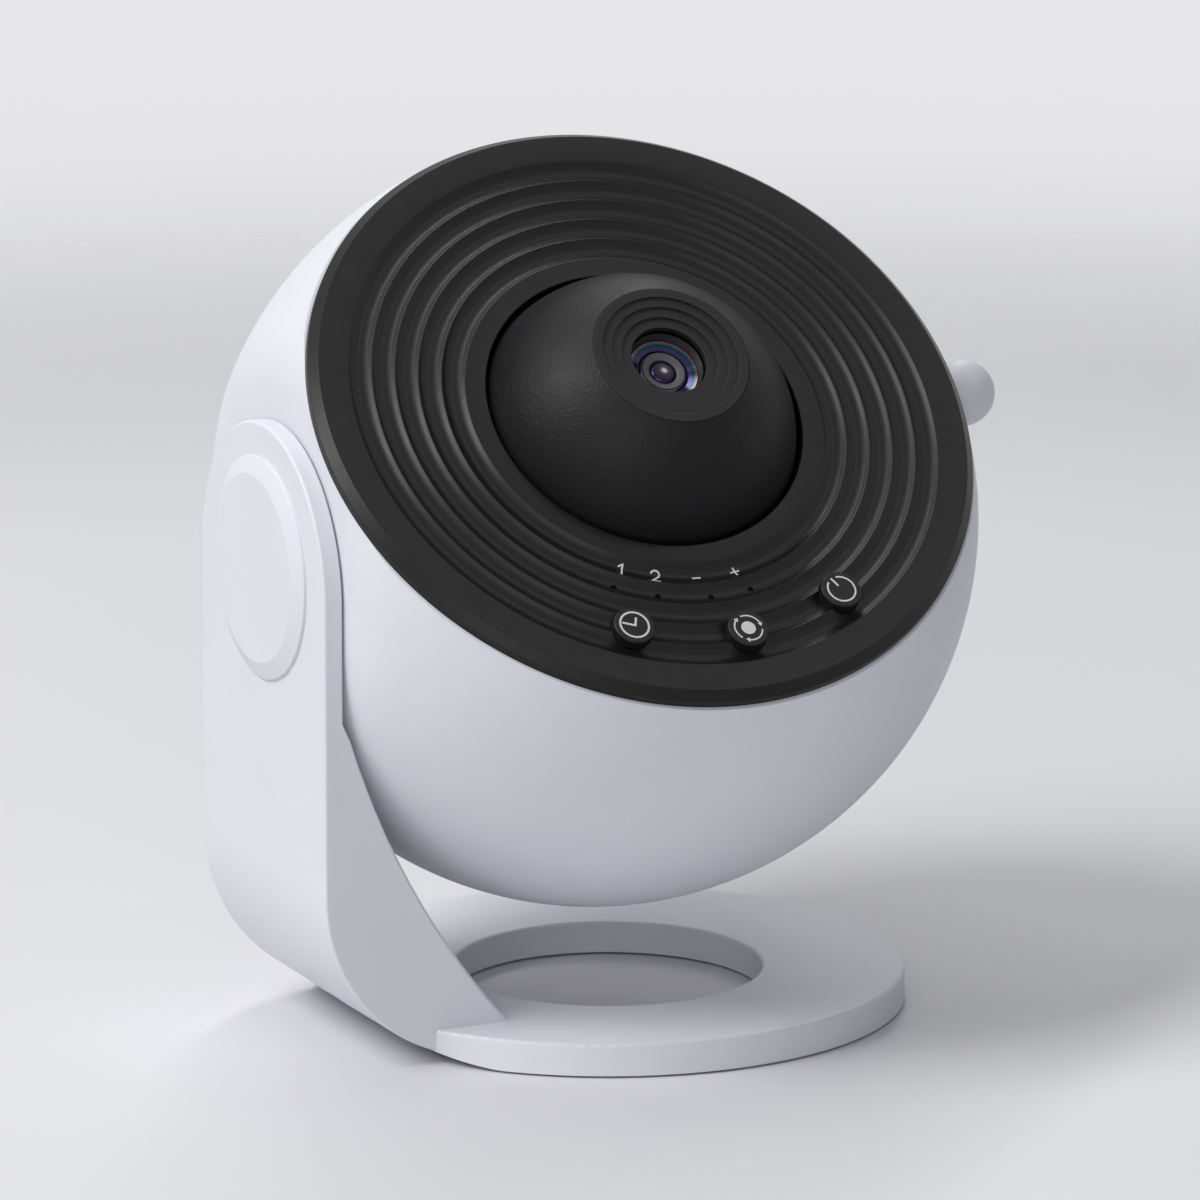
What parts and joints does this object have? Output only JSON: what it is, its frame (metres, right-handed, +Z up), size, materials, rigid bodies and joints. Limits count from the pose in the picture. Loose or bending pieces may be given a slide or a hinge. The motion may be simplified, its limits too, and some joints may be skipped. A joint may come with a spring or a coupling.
{
  "type": "star projector",
  "caption": "Ball-shaped star projector on a one-armed ring stand: tilting head, black ring-grooved front panel, dome with focusing lens, push buttons and a ball focus knob.",
  "frame": {"origin": "centre of the hole through the ring base, on the surface that the foot pad rests on", "axes": "+Z up, front towards -Y, the arm on the -X side"},
  "size_m": [0.1374, 0.128, 0.1449],
  "materials": {
    "white_shell": "satin moulded, cool white",
    "black_panel": "fine matt texture",
    "black_grain": "fine leather grain",
    "black_inner": "plain moulded",
    "rubber": "matt",
    "steel": "zinc plated",
    "brass": "turned",
    "aluminium": "anodised",
    "acetal": "low-friction moulded",
    "lens_glass": "coated",
    "film_glass": "printed star film",
    "board_green": "solder mask",
    "board_metal": "aluminium-core board",
    "chip_black": "moulded packages",
    "lamp_yellow": "phosphor",
    "light_pipe": "clear pin"
  },
  "bodies": {
    "stand": {"stand": "white_shell", "base_foot_pad": "rubber", "pivot_cap": "white_shell", "pivot_bolt": "steel", "friction_washer": "acetal", "spring_washer": "steel", "pivot_nut": "steel"},
    "head": {"main_shell": "white_shell", "rear_cover": "white_shell", "front_panel": "black_panel", "pivot_bush": "acetal", "knob_bush": "acetal", "button_board": "board_green", "button_switches": "chip_black", "indicator_lights": "light_pipe", "lens_mount": "black_inner", "lens_deck": "black_inner", "lamp_frame": "black_inner", "led_board": "board_metal", "projection_led": "lamp_yellow", "condenser_holder": "black_inner", "condenser_lens": "lens_glass", "heat_sink": "aluminium", "film_motor": "steel", "main_board": "board_green", "board_components": "chip_black", "power_board": "board_green", "usb_socket": "steel", "panel_screws": "steel", "cover_screws": "steel", "frame_screws": "steel", "mount_screws": "steel", "board_screws": "steel", "lamp_screws": "steel", "motor_screws": "steel"},
    "dome": {"dome_cover": "black_grain", "nose_ring": "black_panel", "lens_sleeve": "black_inner"},
    "lens_carriage": {"lens_barrel": "black_inner", "front_lens": "lens_glass", "front_lens_ring": "black_inner", "rear_lens": "lens_glass", "rear_lens_ring": "black_inner"},
    "focus_drive": {"focus_knob": "white_shell", "focus_shaft": "steel", "focus_pinion": "brass"},
    "film": {"film_carrier": "acetal", "film_disc": "film_glass", "film_clip": "steel"},
    "motor_rotor": {"motor_shaft": "steel", "motor_pinion": "acetal"},
    "timer_key": {"timer_button": "black_panel"},
    "rotation_key": {"rotation_button": "black_panel"},
    "power_key": {"power_button": "black_panel"}
  },
  "joints": [
    {"name": "head_tilt", "type": "hinge", "parent": "stand", "child": "head", "pos_m": [-0.0031, 0, 0.0834], "axis": [-1, 0, 0], "range_deg": [-47.39, 132.61]},
    {"name": "dome_twist", "type": "hinge", "parent": "head", "child": "dome", "pos_m": [-0.0031, 0, 0.0834], "axis": [0, -0.677, 0.736], "range_deg": [0, 35]},
    {"name": "focus_turn", "type": "hinge", "parent": "head", "child": "focus_drive", "pos_m": [-0.0031, 0.00224, 0.09796], "axis": [1, 0, 0], "range_deg": [-43, 43]},
    {"name": "focus_slide", "type": "slide", "parent": "dome", "child": "lens_carriage", "axis": [0, -0.677, 0.736], "range_m": [-0.0018, 0.0018]},
    {"name": "film_spin", "type": "hinge", "parent": "head", "child": "film", "pos_m": [-0.0031, 0, 0.0834], "axis": [0, -0.677, 0.736], "continuous": true},
    {"name": "motor_spin", "type": "hinge", "parent": "head", "child": "motor_rotor", "pos_m": [-0.01973, 0.00707, 0.0899], "axis": [0, -0.677, 0.736], "continuous": true},
    {"name": "timer_press", "type": "slide", "parent": "head", "child": "timer_key", "axis": [0, 0.677, -0.736], "range_m": [0, 0.0006], "stiffness_N_per_m": 1500, "springref_m": -0.0002},
    {"name": "rotation_press", "type": "slide", "parent": "head", "child": "rotation_key", "axis": [0, 0.677, -0.736], "range_m": [0, 0.0006], "stiffness_N_per_m": 1500, "springref_m": -0.0002},
    {"name": "power_press", "type": "slide", "parent": "head", "child": "power_key", "axis": [0, 0.677, -0.736], "range_m": [0, 0.0006], "stiffness_N_per_m": 1500, "springref_m": -0.0002}
  ],
  "couplings": [
    {"joint": "focus_turn", "follows": "focus_slide", "rad_per_m": -416.67},
    {"joint": "motor_spin", "follows": "film_spin", "ratio": -3}
  ]
}
